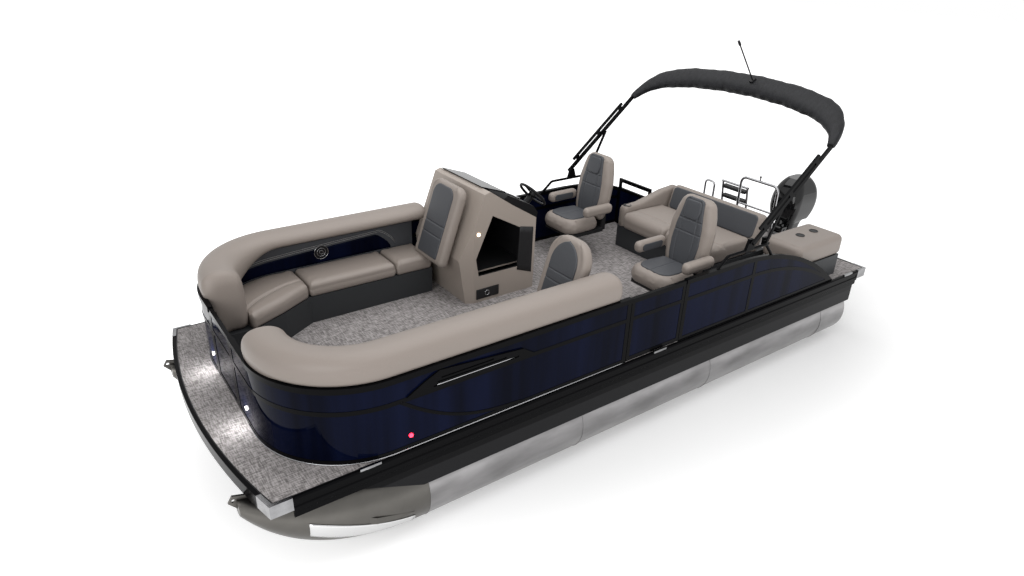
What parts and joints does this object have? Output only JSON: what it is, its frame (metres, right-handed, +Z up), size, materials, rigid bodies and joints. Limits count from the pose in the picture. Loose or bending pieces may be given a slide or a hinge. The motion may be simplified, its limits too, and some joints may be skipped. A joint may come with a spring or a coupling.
{
  "type": "pontoon boat",
  "caption": "Twin-tube pontoon boat with fenced deck, bow lounges, helm console, swivel chairs, stern lounge, furled bimini, boarding ladder and tilting outboard motor.",
  "frame": {"origin": "centre of the bounding box's base, under the keel strips", "axes": "+X to the bow, +Y to port, +Z up"},
  "size_m": [7.5, 2.6986, 3.1708],
  "materials": {
    "boot_cloth": "woven",
    "navy": "gloss",
    "motor_black": "gloss",
    "taupe_shell": "satin",
    "chrome": "polished",
    "deck_ply": "sealed",
    "black_rail": "satin",
    "taupe": "vinyl",
    "black_plastic": "moulded",
    "lamp_lens": "clear",
    "base_grey": "satin",
    "charcoal": "vinyl",
    "steel": "polished",
    "black_trim": "gloss",
    "skirt_grey": "satin",
    "mill_aluminium": "mill",
    "nose_grey": "satin",
    "brushed_tube": "brushed",
    "woven_floor": "woven",
    "tinted": "tinted"
  },
  "bodies": {
    "boat": {"bimini_tracks": "black_rail", "chair_pedestals": "black_rail", "clamp_bracket": "motor_black", "console_dash": "black_trim", "console_shell": "taupe_shell", "cross_members": "mill_aluminium", "deck_castings": "chrome", "deck_panel": "deck_ply", "deck_rails": "black_rail", "engine_pod": "mill_aluminium", "lamps": "lamp_lens", "lounge_backrests": "taupe", "lounge_bases": "base_grey", "lounge_bolsters": "taupe", "lounge_liners": "charcoal", "lounge_seats": "taupe", "port_frames": "black_rail", "port_panels": "navy", "side_accents": "black_trim", "side_skirts": "skirt_grey", "starboard_frame": "black_rail", "starboard_panel": "navy", "stern_backrest": "taupe", "stern_base": "base_grey", "stern_module": "taupe", "stern_rails": "chrome", "stern_seat": "taupe", "tube_brackets": "mill_aluminium", "tube_noses": "nose_grey", "tubes": "brushed_tube", "vinyl_floor": "woven_floor", "windscreen": "tinted"},
    "bow_gate": {"bow_gate_frame": "black_rail", "bow_gate_panel": "navy"},
    "port_gate": {"port_gate_frame": "black_rail", "port_gate_panel": "navy"},
    "stern_gate": {"stern_gate_frame": "black_rail", "stern_gate_panel": "navy"},
    "helm_chair": {"helm_chair_pan": "black_plastic", "helm_chair_pads": "taupe", "helm_chair_inserts": "charcoal"},
    "companion_chair": {"companion_chair_pan": "black_plastic", "companion_chair_pads": "black_plastic", "companion_chair_inserts": "charcoal"},
    "steering": {"steering_wheel": "black_plastic"},
    "bimini": {"bimini_legs": "black_rail", "bimini_boot": "boot_cloth", "light_mast": "black_rail"},
    "braces": {"bimini_braces": "black_rail"},
    "ladder": {"ladder_rails": "chrome", "ladder_treads": "black_plastic"},
    "tilt_bracket": {"swivel_bracket": "motor_black"},
    "motor": {"cowl": "motor_black", "motor_leg": "motor_black"},
    "prop": {"propeller": "steel"}
  },
  "joints": [
    {"name": "bow_gate_swing", "type": "hinge", "parent": "boat", "child": "bow_gate", "pos_m": [3.39205, -0.327, 1.1], "axis": [0, 0, 1], "range_deg": [0, 95]},
    {"name": "port_gate_swing", "type": "hinge", "parent": "boat", "child": "port_gate", "pos_m": [0.60105, 1.225, 1.1], "axis": [0, 0, 1], "range_deg": [0, 90]},
    {"name": "stern_gate_swing", "type": "hinge", "parent": "boat", "child": "stern_gate", "pos_m": [-1.64295, -1.22, 1.1], "axis": [0, 0, 1], "range_deg": [0, 90]},
    {"name": "helm_chair_turn", "type": "hinge", "parent": "boat", "child": "helm_chair", "pos_m": [-0.56495, -0.82, 1.1], "axis": [0, 0, 1], "continuous": true},
    {"name": "companion_chair_turn", "type": "hinge", "parent": "boat", "child": "companion_chair", "pos_m": [-0.37495, 0.75, 1.1], "axis": [0, 0, 1], "continuous": true},
    {"name": "motor_tilt", "type": "hinge", "parent": "boat", "child": "tilt_bracket", "pos_m": [-3.18495, 0, 0.88], "axis": [0, 1, 0], "range_deg": [-4, 55]},
    {"name": "motor_steer", "type": "hinge", "parent": "tilt_bracket", "child": "motor", "pos_m": [-3.26995, 0, 0.75], "axis": [0, 0, 1], "range_deg": [-30, 30]},
    {"name": "propeller_turn", "type": "hinge", "parent": "motor", "child": "prop", "pos_m": [-3.67495, 0, 0.212], "axis": [1, 0, 0], "continuous": true},
    {"name": "wheel_turn", "type": "hinge", "parent": "boat", "child": "steering", "pos_m": [0.05505, -0.8, 1.622], "axis": [0.7396, 0, -0.673], "range_deg": [-540, 540]},
    {"name": "bimini_swing", "type": "hinge", "parent": "boat", "child": "bimini", "pos_m": [-0.85695, 0, 1.623], "axis": [0, 1, 0], "range_deg": [-32, 45]},
    {"name": "brace_swing", "type": "hinge", "parent": "boat", "child": "braces", "pos_m": [-1.11795, 0, 1.58], "axis": [0, 1, 0], "range_deg": [-42, 59]},
    {"name": "ladder_fold", "type": "hinge", "parent": "boat", "child": "ladder", "pos_m": [-3.08495, -0.56, 0.868], "axis": [0, -1, 0], "range_deg": [0, 170]}
  ],
  "couplings": [
    {"joint": "wheel_turn", "follows": "motor_steer", "ratio": 18},
    {"joint": "brace_swing", "follows": "bimini_swing", "ratio": 1.3}
  ]
}
